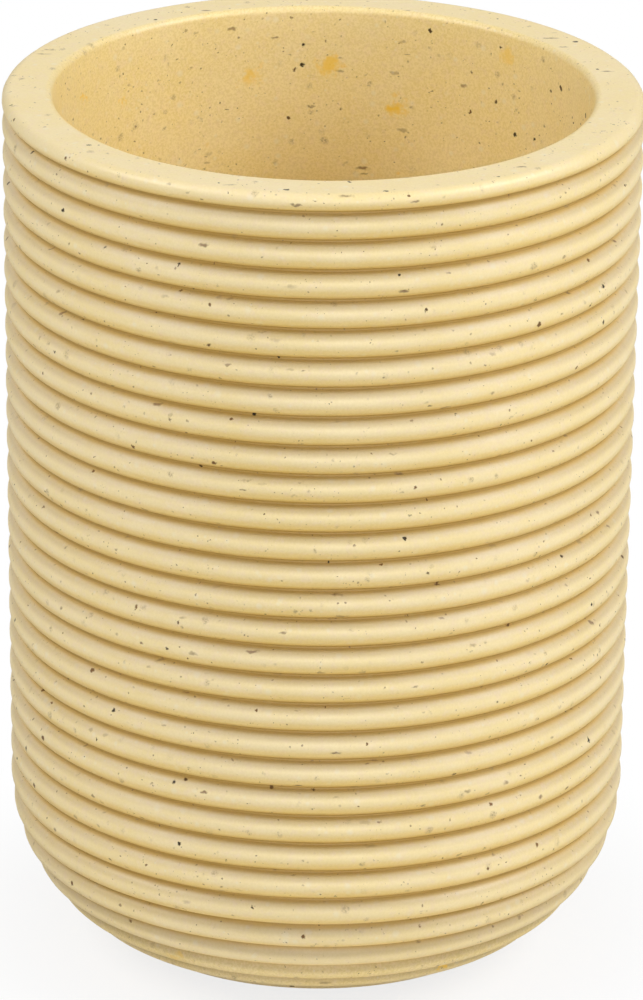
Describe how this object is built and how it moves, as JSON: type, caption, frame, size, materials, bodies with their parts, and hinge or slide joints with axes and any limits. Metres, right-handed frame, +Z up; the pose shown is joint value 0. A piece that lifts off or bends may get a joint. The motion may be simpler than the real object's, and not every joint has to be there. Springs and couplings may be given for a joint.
{
  "type": "bathroom tumbler",
  "caption": "Round, open bathroom tumbler cast in stone-effect resin, with level ribs round its wall and rounded bottom, a flat rim and a flat padded foot.",
  "frame": {"origin": "on the surface that the tumbler stands on, under the middle of the cup", "axes": "+Z up along the cup's axis; the picture is taken from the -Y side, from above"},
  "size_m": [0.076, 0.076, 0.1075],
  "materials": {
    "cast_resin": "satin cast stone-effect resin, cream, coloured through, with fine dark specks",
    "pad": "matt translucent elastomer",
    "adhesive": "clear acrylic adhesive film"
  },
  "bodies": {
    "root": {"tumbler_body": "cast_resin", "foot_pad_front_right": "pad", "foot_pad_rear_right": "pad", "foot_pad_rear_left": "pad", "foot_pad_front_left": "pad", "adhesive_front_right": "adhesive", "adhesive_rear_right": "adhesive", "adhesive_rear_left": "adhesive", "adhesive_front_left": "adhesive"}
  },
  "joints": []
}
